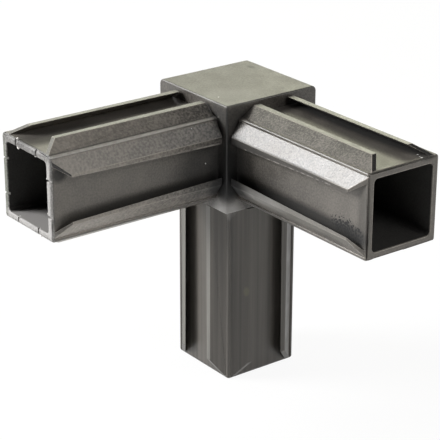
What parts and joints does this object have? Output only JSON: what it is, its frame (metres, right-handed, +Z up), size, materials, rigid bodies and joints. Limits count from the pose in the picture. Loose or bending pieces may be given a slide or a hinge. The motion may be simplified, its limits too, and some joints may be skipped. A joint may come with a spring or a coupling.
{
  "type": "three way corner connector",
  "caption": "Moulded nylon corner connector for square tube: a cube hub with hollow square plugs to two sides and down, each barbed along its corners.",
  "frame": {"origin": "centre of the cube hub, where the axes of the three plugs cross", "axes": "+X along the right plug, -Y along the left plug, -Z down the leg plug; +Z is up and the hub's plain top faces it"},
  "size_m": [0.0678, 0.0678, 0.0678],
  "materials": {
    "nylon": "satin black injection-moulded nylon"
  },
  "bodies": {
    "root": {"corner_connector": "nylon"}
  },
  "joints": []
}
